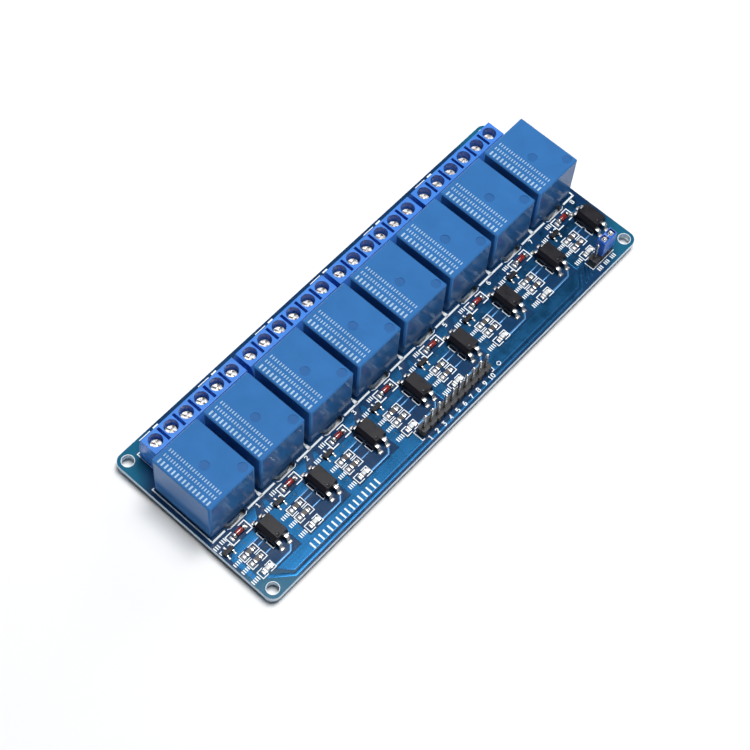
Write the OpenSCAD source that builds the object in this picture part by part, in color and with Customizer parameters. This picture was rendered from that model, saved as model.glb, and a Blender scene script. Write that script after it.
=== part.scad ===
// Relay module board.
// Eight sealed relays, each driven through an optocoupler, stand in a row on one printed circuit
// board. Screw terminals for the loads run along the back edge and pin headers along the front.
// Millimetres. The origin is at the board's centre, on the plane of the lead tips it stands on.
// +X runs along the row of relays, +Y towards the screw terminals and +Z up.

/* [Board] */
// Width of the board from the pin headers to the screw terminals
board_width = 52.4; // [50.6:0.2:60]
// Thickness of the laminate
board_thickness = 1.6; // [1:0.1:2.4]
// Radius of the board's four corners
board_corner_r = 2.4; // [0.6:0.1:3]
// Diameter of the four mounting holes
mounting_hole_d = 3.1; // [2.6:0.1:3.4]
// Distance from the board's edges to the centres of the mounting holes
mounting_hole_inset = 2.55; // [2.4:0.05:2.8]
// How far the trimmed leads stand out below the board
lead_stickout = 1.6; // [1.2:0.1:2.6]
// Gap between a lead's corner and the wall of its plated hole
lead_hole_gap = 0.15; // [0.1:0.05:0.25]
// Width of the routed isolation slot round each relay's common contact
slot_width = 1.15; // [0.8:0.05:1.4]
// Distance between the centre lines of an isolation slot's two legs
slot_span = 6.3; // [5.6:0.1:7]
// Distance from the common contact forward to the slot's centre line
slot_reach = 3.1; // [2.8:0.1:3.3]
// Length of the slot's legs behind the common contact
slot_leg = 1.4; // [0.6:0.1:2]
// Centre-line radius of the slot's two bends
slot_bend_r = 1.9; // [1:0.1:2.4]

/* [Relays] */
// Distance between the centres of neighbouring relays
relay_pitch = 16.83; // [16.6:0.01:17.6]
// Distance from the end relays to the ends of the board
relay_end_margin = 1.745; // [1.6:0.005:4]
// Width of a relay case along the row
relay_width = 14.9; // [14.6:0.1:15.4]
// Length of a relay case across the board
relay_length = 18.7; // [18.2:0.1:19.4]
// Height of a relay case by itself
relay_height = 15.5; // [14:0.1:17]
// Distance from the board's front edge to the relay fronts
relay_setback = 21.4; // [21:0.1:22]
// Air gap between the board and the rim of a relay case
relay_standoff = 0.3; // [0.2:0.05:0.6]
// Radius of a relay case's upright edges
relay_corner_r = 0.6; // [0.3:0.1:1.2]
// Width of the chamfer round a relay's top
relay_top_chamfer = 0.3; // [0.1:0.05:0.6]
// Wall of the relay case round its base plate
relay_wall = 0.9; // [0.7:0.05:1.2]
// Thickness of the base plate that closes a relay
relay_base_t = 1.3; // [0.9:0.1:2]
// How far the base plate sits up inside the case's rim
relay_base_recess = 0.2; // [0.1:0.05:0.4]
// Gap between the base plate and the case wall
relay_base_gap = 0.05; // [0.02:0.01:0.1]
// Diameter of the two shallow round marks in a relay's top
relay_mark_d = 2.6; // [2:0.1:3]
// Depth of the two round marks
relay_mark_depth = 0.15; // [0.1:0.05:0.4]
// Distance from a relay's +X side to the centre of the outer round mark
relay_mark_side = 1.9; // [1.6:0.1:2.6]
// Distance from a relay's front to the centre of the outer round mark
relay_mark_front = 2.15; // [1.6:0.05:2.6]
// Distance from a relay's sides to its coil pins and its fixed contacts
relay_pin_inset = 1.45; // [1.3:0.05:1.7]
// Distance from a relay's front to its common contact
common_inset = 2.2; // [2:0.1:2.6]
// Distance from the common contact back to the coil pins
coil_offset = 2; // [1.6:0.1:2.6]
// Distance from a relay's back to its fixed contacts
contact_inset = 2.3; // [1.8:0.1:2.8]
// Side of the square coil pins
coil_pin_w = 0.6; // [0.5:0.05:0.8]
// Width of the flat contact blades
blade_w = 1; // [0.8:0.05:1.2]
// Thickness of the flat contact blades
blade_t = 0.4; // [0.3:0.05:0.6]

/* [Screw terminals] */
// Distance between the poles of a terminal block
pole_pitch = 5.08; // [5:0.01:5.16]
// Gap between neighbouring terminal blocks
block_gap = 1.27; // [0.8:0.01:1.6]
// Gap between the relays and the terminal blocks
terminal_gap = 0.7; // [0.3:0.1:1]
// Depth of a terminal block at its foot
terminal_depth = 7.6; // [7.4:0.1:8]
// Height of a terminal block
terminal_height = 10.2; // [9.8:0.1:12]
// Height at which the wire side starts to lean back
front_lean_z = 5.6; // [5.3:0.1:6.4]
// How far the wire side leans back by the top
front_lean = 0.95; // [0.5:0.05:1.1]
// Height at which the relay side starts to lean in
back_lean_z = 6.6; // [6:0.1:7.6]
// How far the relay side leans in by the top
back_lean = 1.6; // [1:0.1:1.7]
// Distance from the relay side of the foot to the screw axes
screw_inset = 4.25; // [4.1:0.05:4.3]
// Diameter of the wells that lead to the screws
well_d = 3.6; // [3.4:0.05:3.7]
// Depth of the wells
well_depth = 4; // [3.8:0.1:4.2]
// Width of the cell that holds a wire clamp
cell_w = 4.1; // [3.9:0.05:4.3]
// Height of the cell above the board
cell_h = 5.3; // [5.2:0.05:5.4]
// Thickness of the wall behind each cell
cell_back_wall = 1; // [0.8:0.05:1.2]
// Thickness of the wall at the wire side of each cell
cell_front_wall = 1.1; // [0.8:0.05:1.3]
// Width of the wire entries
entry_w = 3.6; // [3:0.1:3.8]
// Height of the wire entries
entry_h = 3.3; // [2.8:0.1:3.5]
// Height of the wire entries' sill above the board
entry_sill = 0.9; // [0.7:0.05:1.2]
// Width of the flare round the mouth of a wire entry
entry_flare = 0.35; // [0.1:0.05:0.4]
// Width of the grooves between the wells
groove_w = 0.78; // [0.4:0.02:0.9]
// Length of the grooves
groove_l = 4.1; // [3:0.1:4.4]
// Depth of the grooves
groove_depth = 3; // [1:0.1:3.4]

/* [Terminal metalwork] */
// Gap between a screw head and its well
head_gap = 0.1; // [0.05:0.01:0.15]
// Height of a screw head
head_h = 1.5; // [1.2:0.1:1.8]
// Diameter of a screw's shank
shank_d = 2.5; // [2:0.1:2.6]
// Gap round a screw's shank in the web and in the clamp
shank_gap = 0.08; // [0.05:0.01:0.12]
// Width of the cross and slot in a screw's head
driver_slot_w = 0.6; // [0.4:0.05:0.8]
// Depth of the cross and slot
driver_slot_depth = 0.7; // [0.4:0.05:0.9]
// Gap between a wire clamp and the walls of its cell
clamp_gap = 0.1; // [0.05:0.01:0.15]
// Height of a wire clamp
clamp_h = 4.3; // [4.1:0.1:4.5]
// Thickness of a wire clamp's strip
clamp_t = 0.6; // [0.5:0.05:0.7]
// Length of a wire clamp along the wire
clamp_l = 4.2; // [3.8:0.1:4.3]
// Height of a wire clamp's foot above the board
clamp_z = 0.3; // [0.2:0.05:0.4]
// Thickness of the contact plate that the wire is pressed against
plate_t = 0.6; // [0.5:0.05:0.7]
// Width of the contact plate and of its leg
plate_w = 2.4; // [2:0.1:2.6]
// Width of a terminal's solder pin
terminal_pin_w = 1; // [0.8:0.05:1.2]

/* [Optocouplers] */
// Width of an optocoupler body along the board
opto_width = 4.58; // [4.3:0.02:4.8]
// Length of an optocoupler body across the board
opto_length = 6.5; // [6.2:0.1:6.8]
// Height of an optocoupler body
opto_height = 3.5; // [3:0.1:3.8]
// Air gap under an optocoupler
opto_standoff = 0.15; // [0.1:0.05:0.3]
// Width of the bevel along an optocoupler's pin-one side
opto_bevel = 0.9; // [0.5:0.1:1.1]
// Diameter of the round mark in an optocoupler's top, beside its first pin
opto_mark_d = 0.9; // [0.7:0.1:1.1]
// Distance of that mark from the two edges of the top that it stands by
opto_mark_gap = 0.3; // [0.2:0.05:0.5]
// Span of an optocoupler's leads, foot tip to foot tip
opto_lead_span = 10; // [9.4:0.1:10.4]
// Width of an optocoupler's leads
opto_lead_w = 1.1; // [0.8:0.1:1.3]

/* [Small parts] */
// How much wider the small parts of the channels are spaced than the relays
channel_spread = 0.31; // [0.2:0.01:0.35]
// How far the small parts sit towards the -X end of the board from their relays
channel_shift = 0.88; // [0.8:0.01:0.95]
// Inward shift of what would foul a mounting hole at either end of the board
end_shift = 1.1; // [0.9:0.05:1.2]
// Distance from the board's front edge to the optocouplers
opto_y = 12.3; // [12.1:0.1:12.6]
// Distance from the board's front edge to the diodes
diode_y = 17.85; // [17.7:0.05:18.2]
// Distance from the board's front edge to the transistors
transistor_y = 16.25; // [15.9:0.05:16.6]
// Distance from the board's front edge to the inner row of resistors
resistor_inner_y = 12.7; // [12.5:0.1:13]
// Distance from the board's front edge to the outer row of resistors
resistor_outer_y = 10.1; // [9.6:0.1:10.4]
// Distance from the board's front edge to the LEDs
led_y = 6.75; // [6.6:0.05:7.4]
// Distance from a channel's diode to its optocoupler
opto_x = 5.2; // [5:0.1:5.4]
// Distance from a channel's diode back to its transistor
transistor_x = 5.2; // [5:0.1:5.4]
// Distance from a channel's diode back to its resistors and LED
column_x = 3; // [2.8:0.1:3.3]
// Length of a diode with its caps
diode_length = 3.5; // [3.2:0.1:3.8]
// Diameter of a diode's caps
diode_cap_d = 1.5; // [1.3:0.05:1.7]
// How far a diode's caps stand proud of its glass
diode_cap_step = 0.06; // [0.04:0.01:0.1]
// Length of a diode's caps
diode_cap_l = 0.5; // [0.3:0.05:0.6]
// Length of a chip resistor or LED
chip_length = 2; // [1.8:0.1:2.4]
// Width of a chip resistor or LED
chip_width = 1.25; // [1.1:0.05:1.5]
// Height of a chip resistor
resistor_height = 0.55; // [0.4:0.05:0.7]
// Height of an LED
led_height = 0.8; // [0.7:0.05:1]
// Height of the carrier plate under an LED's lens
led_base_h = 0.35; // [0.25:0.05:0.45]
// Length of the metal ends of a chip resistor or LED
chip_end_l = 0.4; // [0.3:0.05:0.5]
// Thickness of the metal on a chip's ends
chip_end_t = 0.05; // [0.03:0.01:0.08]
// Length of a transistor body
transistor_length = 2.9; // [2.7:0.1:3.1]
// Width of a transistor body
transistor_width = 1.3; // [1.2:0.1:1.5]
// Height of a transistor body
transistor_height = 1; // [0.8:0.1:1.2]
// Span of a transistor's leads, foot tip to foot tip
transistor_span = 2.5; // [2.3:0.1:2.8]

/* [Pin headers] */
// Distance between the pins of both headers
header_pitch = 2.54; // [2.4:0.01:2.6]
// Distance from the board's front edge to the rows of pins
header_y = 3.85; // [3:0.05:4]
// Distance from the end of the board to the supply header
supply_header_inset = 11.15; // [10.9:0.05:12]
// Height and width of a header's plastic strip
header_strip = 2.5; // [2.3:0.05:2.6]
// Chamfer at the notches between the strip's cells
header_notch = 0.4; // [0.2:0.05:0.6]
// Side of a header's square pins
header_pin_w = 0.64; // [0.5:0.02:0.7]
// Height of a header's pins above the board
header_pin_top = 8.5; // [8:0.1:9]
// Length of a pin's pointed tip
header_pin_tip = 0.35; // [0.2:0.05:0.5]

/* [Jumper] */
// Height of the jumper cap
jumper_height = 6; // [5.6:0.1:6.4]
// Width of the jumper cap across the pins
jumper_width = 2.4; // [2.3:0.05:2.5]
// Thickness of the jumper cap's walls
jumper_wall = 0.35; // [0.3:0.05:0.4]
// Gap between the jumper cap and the header strip below it
jumper_seat_gap = 0.1; // [0.05:0.05:0.2]
// Depth of the slot between the jumper cap's two sockets
jumper_slot_depth = 1.2; // [1:0.1:1.6]
// Thickness of the jumper's spring metal
jumper_metal_t = 0.2; // [0.15:0.01:0.25]
// Gap between a pin and the spring metal round it
jumper_pin_gap = 0.06; // [0.04:0.01:0.1]

/* [Hidden] */
channels = 8;
blocks = 4;
poles_per_block = 6;
signal_pins = 10;
supply_pins = 3;
jumpered_pins = 2;
channel = [0 : channels - 1];
block = [0 : blocks - 1];
pole = [0 : poles_per_block - 1];
$fn = 48;
cut = 0.5;                      // how far a cutting shape runs past the face that it opens
overcut = 2 * cut;

deck_z = lead_stickout + board_thickness;          // the board's top face
board_length = (channels - 1) * relay_pitch + relay_width + 2 * relay_end_margin;
front_y = -board_width / 2;
relay_front_y = front_y + relay_setback;
relay_y = relay_front_y + relay_length / 2;
common_y = relay_front_y + common_inset;
coil_y = common_y + coil_offset;
contact_y = relay_front_y + relay_length - contact_inset;
relay_pin_x = relay_width / 2 - relay_pin_inset;
channel_pitch = relay_pitch + channel_spread;
supply_header_x = board_length / 2 - supply_header_inset;
relay_rim_z = deck_z + relay_standoff;
relay_base_z = relay_rim_z + relay_base_recess;
relay_pocket_top = relay_base_z + relay_base_t;
relay_inside_w = relay_width - 2 * relay_wall;
relay_inside_l = relay_length - 2 * relay_wall;

// The centres of a relay's two round marks: near the middle of the top, and near its front right corner.
relay_marks = [
    [-0.1, -0.5],
    [relay_width / 2 - relay_mark_side, relay_mark_front - relay_length / 2]
];

// Every relay lead as [x from the relay's centre, y, size along X, size along Y].
relay_leads = [
    [0, common_y, blade_w, blade_t],
    [-relay_pin_x, coil_y, coil_pin_w, coil_pin_w],
    [relay_pin_x, coil_y, coil_pin_w, coil_pin_w],
    [-relay_pin_x, contact_y, blade_w, blade_t],
    [relay_pin_x, contact_y, blade_w, blade_t]
];

terminal_y = relay_front_y + relay_length + terminal_gap;   // relay side of the blocks' foot
block_length = poles_per_block * pole_pitch;
block_pitch = block_length + block_gap;
cell_depth = terminal_depth - cell_back_wall - cell_front_wall;
web_z = terminal_height - well_depth;                       // floor of the wells
head_d = well_d - 2 * head_gap;
clamp_w = cell_w - 2 * clamp_gap;
clamp_top = clamp_z + clamp_h;
plate_top = clamp_top - clamp_t - clamp_gap;
plate_y = terminal_y + cell_back_wall + clamp_gap;          // back of the plate's leg

opto_lead_t = 0.25;
opto_lead_pitch = header_pitch;
opto_draft = 0.18;
opto_mark_depth = 0.1;
chip_gap = 0.02;                                            // solder under a chip's ends
transistor_standoff = 0.05;
transistor_lead_pitch = 1.9;
transistor_lead_w = 0.42;
transistor_lead_t = 0.14;
transistor_draft = 0.08;

strip_top = deck_z + header_strip;
pin_top = deck_z + header_pin_top;
jumper_bottom = strip_top + jumper_seat_gap;
jumper_length = jumpered_pins * header_pitch - jumper_wall / 2;
sleeve_inside = header_pin_w + 2 * jumper_pin_gap;
sleeve_outside = sleeve_inside + 2 * jumper_metal_t;
jumper_socket = header_pitch - 2 * jumper_wall;

solder_collar = 0.5;                                        // solder's reach round a hole
solder_tip = 0.35;                                          // bare end of each lead

function centred(i, n) = i - (n - 1) / 2;
function relay_x(i) = centred(i, channels) * relay_pitch;
function diode_x(i) = centred(i, channels) * channel_pitch - channel_shift;
function column_of(i) = diode_x(i) - column_x + (i == 0 ? end_shift : 0);
function opto_of(i) = diode_x(i) + opto_x - (i == channels - 1 ? end_shift : 0);
function block_x(b) = centred(b, blocks) * block_pitch;
function pole_x(p) = centred(p, poles_per_block) * pole_pitch;
function pin_x(i, n) = centred(i, n) * header_pitch;
function lead_hole_r(a, b) = norm([a, b]) / 2 + lead_hole_gap;

// ---- shared shapes ---------------------------------------------------------------------------

// Extrudes a profile drawn as [y, z] along X, centred on the YZ plane.
module along_x(length) {
    rotate([90, 0, 90]) translate([0, 0, -length / 2]) linear_extrude(length) children();
}

// Extrudes a profile drawn as [x, z] along Y, centred on the XZ plane.
module along_y(length) {
    rotate([90, 0, 0]) translate([0, 0, -length / 2]) linear_extrude(length) children();
}

module rounded_rectangle(l, w, r) {
    square([l - 2 * r, w], center = true);
    square([l, w - 2 * r], center = true);
    for (sx = [-1, 1], sy = [-1, 1])
        translate([sx * (l / 2 - r), sy * (w / 2 - r)]) circle(r);
}

// A block whose top edges are chamfered on all four sides.
module chamfered_top(l, w, h, c) {
    intersection() {
        along_y(w) chamfered_profile(l, h, c);
        along_x(l) chamfered_profile(w, h, c);
    }
}

module chamfered_profile(w, h, c) {
    polygon([[-w / 2, 0], [w / 2, 0], [w / 2, h - c], [w / 2 - c, h], [c - w / 2, h], [-w / 2, h - c]]);
}

// A square pin with both ends pointed.
module square_pin(w, bottom, top, tip) {
    intersection() {
        along_x(w) pin_profile(w, bottom, top, tip);
        along_y(w) pin_profile(w, bottom, top, tip);
    }
}

module pin_profile(w, bottom, top, tip) {
    narrow = w / 4;
    polygon([
        [-narrow, bottom], [narrow, bottom], [w / 2, bottom + tip], [w / 2, top - tip],
        [narrow, top], [-narrow, top], [-w / 2, top - tip], [-w / 2, bottom + tip]
    ]);
}

// A moulded chip body, widest at half height, with an optional bevel on its -X top edge.
module moulded_body(w, l, h, draft, bevel = 0) {
    intersection() {
        along_y(l) polygon([
            [draft - w / 2, 0], [w / 2 - draft, 0], [w / 2, h / 2], [w / 2 - draft, h],
            [draft + bevel - w / 2, h], [draft - w / 2, h - bevel], [-w / 2, h / 2]
        ]);
        along_x(w) polygon([
            [draft - l / 2, 0], [l / 2 - draft, 0], [l / 2, h / 2], [l / 2 - draft, h],
            [draft - l / 2, h], [-l / 2, h / 2]
        ]);
    }
}

// A bent lead that leaves a body at height h and stands on the board at its far end.
module gull_wing(w, h, reach, t) {
    knee = reach * 0.3;
    ankle = reach * 0.45;
    along_x(w) polygon([
        [0, h - t], [0, h], [knee + t, h], [ankle + t, t], [reach, t], [reach, 0], [ankle, 0], [knee, h - t]
    ]);
}

// ---- circuit board ---------------------------------------------------------------------------

module circuit_board() {
    color("steelblue")
    difference() {
        translate([0, 0, lead_stickout]) linear_extrude(board_thickness)
            rounded_rectangle(board_length, board_width, board_corner_r);
        at_mounting_holes() through_board(mounting_hole_d / 2);
        for (i = channel) translate([relay_x(i), 0, 0]) {
            for (lead = relay_leads)
                translate([lead[0], lead[1], 0]) through_board(lead_hole_r(lead[2], lead[3]));
            translate([0, common_y, lead_stickout - cut]) linear_extrude(board_thickness + overcut)
                isolation_slot();
        }
        at_poles() translate([0, plate_y + plate_t / 2, 0])
            through_board(lead_hole_r(terminal_pin_w, plate_t));
        at_header_pins() through_board(lead_hole_r(header_pin_w, header_pin_w));
    }
}

module at_mounting_holes() {
    for (sx = [-1, 1], sy = [-1, 1])
        translate([
            sx * (board_length / 2 - mounting_hole_inset), sy * (board_width / 2 - mounting_hole_inset), 0
        ])
            children();
}

module through_board(r) {
    translate([0, 0, lead_stickout - cut]) cylinder(h = board_thickness + overcut, r = r);
}

// The slot bends round the front of the common contact, which is at the origin.
module isolation_slot() {
    leg_x = slot_span / 2;
    bend_x = leg_x - slot_bend_r;
    bend_y = slot_bend_r - slot_reach;
    translate([-bend_x, -slot_reach - slot_width / 2]) square([2 * bend_x, slot_width]);
    for (side = [-1, 1]) {
        translate([side * leg_x - slot_width / 2, bend_y]) square([slot_width, slot_leg - bend_y]);
        translate([side * leg_x, slot_leg]) circle(slot_width / 2);
        translate([side * bend_x, bend_y]) intersection() {
            difference() {
                circle(slot_bend_r + slot_width / 2);
                circle(slot_bend_r - slot_width / 2);
            }
            corner = slot_bend_r + slot_width;
            translate([side > 0 ? 0 : -corner, -corner]) square(corner);
        }
    }
}

// ---- relays ----------------------------------------------------------------------------------

module relay_case(i) {
    pocket_depth = relay_pocket_top - relay_rim_z;
    color("royalblue")
    translate([relay_x(i), relay_y, relay_rim_z])
    difference() {
        intersection() {
            chamfered_top(relay_width, relay_length, relay_height, relay_top_chamfer);
            linear_extrude(relay_height) rounded_rectangle(relay_width, relay_length, relay_corner_r);
        }
        translate([-relay_inside_w / 2, -relay_inside_l / 2, -cut])
            cube([relay_inside_w, relay_inside_l, pocket_depth + cut]);
        for (mark = relay_marks)
            translate([mark[0], mark[1], relay_height - relay_mark_depth])
                cylinder(h = relay_mark_depth + cut, d = relay_mark_d);
    }
}

// The plate that the pins pass through, on four feet that stand on the board.
module relay_base(i) {
    plate_l = relay_inside_l - 2 * relay_base_gap;
    plate_width = relay_inside_w - 2 * relay_base_gap;
    foot_r = 0.8;
    color("midnightblue")
    translate([relay_x(i), 0, 0])
    difference() {
        union() {
            translate([-plate_width / 2, relay_y - plate_l / 2, relay_base_z])
                cube([plate_width, plate_l, relay_base_t]);
            for (sx = [-1, 1], sy = [-1, 1])
                translate([
                    sx * (plate_width / 2 - foot_r), relay_y + sy * (plate_l / 2 - foot_r), deck_z
                ])
                    cylinder(h = relay_base_z - deck_z + cut, r = foot_r);
        }
        for (lead = relay_leads)
            translate([lead[0], lead[1], relay_base_z])
                cube([lead[2], lead[3], 2 * relay_base_t + overcut], center = true);
    }
}

module relay_lead(lead) {
    translate([lead[0] - lead[2] / 2, lead[1] - lead[3] / 2, 0])
        cube([lead[2], lead[3], relay_pocket_top]);
}

module relay_coil_pins() {
    color("gainsboro")
    for (i = channel) translate([relay_x(i), 0, 0])
        for (k = [1, 2]) relay_lead(relay_leads[k]);
}

module relay_contact_blades() {
    color("gainsboro")
    for (i = channel) translate([relay_x(i), 0, 0])
        for (k = [0, 3, 4]) relay_lead(relay_leads[k]);
}

// ---- screw terminals -------------------------------------------------------------------------

// Puts its children at every pole, with the origin on the block's relay side at the lead tips.
module at_poles() {
    for (b = block, p = pole) translate([block_x(b) + pole_x(p), 0, 0]) children();
}

module terminal_block(b) {
    color("dodgerblue")
    translate([block_x(b), terminal_y, deck_z])
    difference() {
        along_x(block_length) polygon([
            [0, 0], [terminal_depth, 0], [terminal_depth, front_lean_z],
            [terminal_depth - front_lean, terminal_height], [back_lean, terminal_height], [0, back_lean_z]
        ]);
        for (p = pole) translate([pole_x(p), 0, 0]) pole_cavity();
        for (p = [1 : poles_per_block - 1])
            translate([pole_x(p) - pole_pitch / 2, 0, 0]) top_groove();
    }
}

// Everything that is open inside one pole: the well, the screw's hole, the cell and the entry.
module pole_cavity() {
    translate([0, screw_inset, web_z]) cylinder(h = well_depth + cut, d = well_d);
    translate([0, screw_inset, cell_h - cut])
        cylinder(h = web_z - cell_h + overcut, d = shank_d + 2 * shank_gap);
    translate([-cell_w / 2, cell_back_wall, -cut]) cube([cell_w, cell_depth, cell_h + cut]);
    translate([-entry_w / 2, terminal_depth - cell_front_wall - cut, entry_sill])
        cube([entry_w, cell_front_wall + overcut, entry_h]);
    translate([0, terminal_depth - entry_flare, entry_sill + entry_h / 2]) entry_flare_cut();
}

// A shallow pyramid that opens outwards round the entry.
module entry_flare_cut() {
    deep = entry_flare + cut;
    intersection() {
        linear_extrude(2 * entry_h, center = true) polygon([
            [-entry_w / 2, 0], [entry_w / 2, 0], [entry_w / 2 + deep, deep], [-entry_w / 2 - deep, deep]
        ]);
        along_x(2 * entry_w) polygon([
            [0, -entry_h / 2], [deep, -entry_h / 2 - deep], [deep, entry_h / 2 + deep], [0, entry_h / 2]
        ]);
    }
}

module top_groove() {
    flat_l = terminal_depth - front_lean - back_lean;
    translate([
        -groove_w / 2, back_lean + (flat_l - groove_l) / 2, terminal_height - groove_depth
    ])
        cube([groove_w, groove_l, groove_depth + cut]);
}

// Screws with a low head, a cross and slot in it, and a plain shank that bears on the plate.
module terminal_screws() {
    edge = 0.3;
    slot_l = head_d * 0.8;
    color("silver")
    at_poles() translate([0, terminal_y + screw_inset, deck_z + web_z])
    difference() {
        rotate_extrude() polygon([
            [0, plate_top - web_z], [shank_d / 2, plate_top - web_z], [shank_d / 2, 0], [head_d / 2, 0],
            [head_d / 2, head_h - edge], [head_d / 2 - edge, head_h], [0, head_h]
        ]);
        for (turn = [0, 90])
            rotate(turn + 20) translate([-slot_l / 2, -driver_slot_w / 2, head_h - driver_slot_depth])
                cube([slot_l, driver_slot_w, driver_slot_depth + cut]);
    }
}

// A clamp is a strip folded into a box, open along the wire, with the screw through its top.
module wire_clamps() {
    color("goldenrod")
    at_poles() translate([0, terminal_y + screw_inset, deck_z + clamp_z])
    difference() {
        along_y(clamp_l) difference() {
            translate([-clamp_w / 2, 0]) square([clamp_w, clamp_h]);
            translate([clamp_t - clamp_w / 2, clamp_t])
                square([clamp_w - 2 * clamp_t, clamp_h - 2 * clamp_t]);
        }
        translate([0, 0, clamp_h - clamp_t - cut])
            cylinder(h = clamp_t + overcut, d = shank_d + 2 * shank_gap);
    }
}

// The fixed plate inside each clamp, bent down behind it into the leg and the solder pin.
module contact_plates() {
    reach = screw_inset + clamp_l / 2 - cell_back_wall - clamp_gap;
    color("silver")
    at_poles() translate([0, plate_y, 0]) {
        translate([-plate_w / 2, 0, deck_z + plate_top - plate_t]) cube([plate_w, reach, plate_t]);
        translate([-plate_w / 2, 0, deck_z]) cube([plate_w, plate_t, plate_top]);
        translate([-terminal_pin_w / 2, 0, 0]) cube([terminal_pin_w, plate_t, deck_z + plate_top]);
    }
}

// ---- optocouplers ----------------------------------------------------------------------------

module optocoupler(i) {
    mark_inset = opto_draft + opto_mark_gap + opto_mark_d / 2;
    color("dimgray")
    translate([opto_of(i), front_y + opto_y, deck_z + opto_standoff])
        difference() {
            moulded_body(opto_width, opto_length, opto_height, opto_draft, opto_bevel);
            translate([
                opto_bevel + mark_inset - opto_width / 2, mark_inset - opto_length / 2,
                opto_height - opto_mark_depth
            ])
                cylinder(h = opto_mark_depth + cut, d = opto_mark_d);
        }
}

module optocoupler_leads() {
    lead_z = opto_standoff + opto_height / 2 + opto_lead_t / 2;
    color("silver")
    for (i = channel, row = [0, 180], side = [-1, 1])
        translate([opto_of(i), front_y + opto_y, deck_z]) rotate(row)
            translate([side * opto_lead_pitch / 2, opto_length / 2, 0])
                gull_wing(opto_lead_w, lead_z, (opto_lead_span - opto_length) / 2, opto_lead_t);
}

// ---- transistors -----------------------------------------------------------------------------

module at_transistors() {
    for (i = channel)
        translate([diode_x(i) - transistor_x, front_y + transistor_y, deck_z]) children();
}

module transistor_bodies() {
    color("black")
    at_transistors() translate([0, 0, transistor_standoff])
        moulded_body(transistor_length, transistor_width, transistor_height, transistor_draft);
}

// Two leads on the side of the board's front edge, one on the relays' side.
module transistor_leads() {
    lead_z = transistor_standoff + (transistor_height + transistor_lead_t) / 2;
    reach = (transistor_span - transistor_width) / 2;
    color("silver")
    at_transistors() {
        translate([0, transistor_width / 2, 0])
            gull_wing(transistor_lead_w, lead_z, reach, transistor_lead_t);
        for (side = [-1, 1])
            rotate(180) translate([side * transistor_lead_pitch / 2, transistor_width / 2, 0])
                gull_wing(transistor_lead_w, lead_z, reach, transistor_lead_t);
    }
}

// ---- diodes ----------------------------------------------------------------------------------

module at_diodes() {
    for (i = channel)
        translate([diode_x(i), front_y + diode_y, deck_z + diode_cap_d / 2 + chip_gap])
            rotate([0, 90, 0]) children();
}

module diode_bodies() {
    color("indianred")
    at_diodes() cylinder(h = diode_length - 2 * diode_cap_l, d = diode_cap_d - 2 * diode_cap_step, center = true);
}

module diode_caps() {
    color("silver")
    at_diodes() for (side = [-1, 1])
        translate([0, 0, side * (diode_length - diode_cap_l) / 2])
            cylinder(h = diode_cap_l, d = diode_cap_d, center = true);
}

// ---- chip resistors and LEDs -----------------------------------------------------------------

module at_resistors() {
    for (i = channel, y = [resistor_inner_y, resistor_outer_y])
        translate([column_of(i), front_y + y, deck_z]) children();
}

module at_leds() {
    for (i = channel) translate([column_of(i), front_y + led_y, deck_z]) children();
}

// The solid part of a chip, between the metal on its ends.
module chip_core(h) {
    translate([chip_end_t - chip_length / 2, chip_end_t - chip_width / 2, chip_end_t])
        cube([chip_length - 2 * chip_end_t, chip_width - 2 * chip_end_t, h - 2 * chip_end_t]);
}

// The metal that wraps both ends of a chip.
module chip_ends(h) {
    for (side = [-1, 1]) difference() {
        translate([side * (chip_length - chip_end_l) / 2, 0, h / 2])
            cube([chip_end_l, chip_width, h], center = true);
        chip_core(h);
    }
}

module resistor_bodies() {
    color("black") at_resistors() chip_core(resistor_height);
}

module resistor_ends() {
    color("silver") at_resistors() chip_ends(resistor_height);
}

module led_bases() {
    color("ivory") at_leds() chip_core(led_base_h);
}

module led_ends() {
    color("silver") at_leds() chip_ends(led_base_h);
}

module led_lenses() {
    lens_l = chip_length - 2 * chip_end_l;
    color("whitesmoke")
    at_leds() translate([0, 0, led_base_h - chip_end_t])
        chamfered_top(lens_l, chip_width - 2 * chip_end_t, led_height - led_base_h + chip_end_t, 0.1);
}

// ---- pin headers -----------------------------------------------------------------------------

module at_signal_header() {
    translate([0, front_y + header_y, 0]) children();
}

module at_supply_header() {
    translate([supply_header_x, front_y + header_y, 0]) children();
}

module at_header_pins() {
    at_signal_header() for (k = [0 : signal_pins - 1]) translate([pin_x(k, signal_pins), 0, 0]) children();
    at_supply_header() for (k = [0 : supply_pins - 1]) translate([pin_x(k, supply_pins), 0, 0]) children();
}

// The strip is a row of square cells with notched corners, one for each pin.
module header_strip_of(n) {
    half = header_strip / 2;
    left = -n * header_pitch / 2;
    side = [for (k = [0 : n - 1], p = [
        [header_notch, -half], [header_pitch - header_notch, -half], [header_pitch, header_notch - half]
    ]) [left + k * header_pitch + p[0], p[1]]];
    back = [for (k = [len(side) - 1 : -1 : 0]) [side[k][0], -side[k][1]]];
    color("black")
    translate([0, 0, deck_z]) linear_extrude(header_strip) difference() {
        polygon(concat([[left, header_notch - half]], side, back, [[left, half - header_notch]]));
        for (k = [0 : n - 1]) translate([pin_x(k, n), 0]) square(header_pin_w, center = true);
    }
}

module header_pins_of(n) {
    color("silver")
    for (k = [0 : n - 1]) translate([pin_x(k, n), 0, 0])
        square_pin(header_pin_w, 0, pin_top, header_pin_tip);
}

module signal_header_strip() { at_signal_header() header_strip_of(signal_pins); }

module signal_header_pins() { at_signal_header() header_pins_of(signal_pins); }

module supply_header_strip() { at_supply_header() header_strip_of(supply_pins); }

module supply_header_pins() { at_supply_header() header_pins_of(supply_pins); }

// ---- jumper ----------------------------------------------------------------------------------

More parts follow.
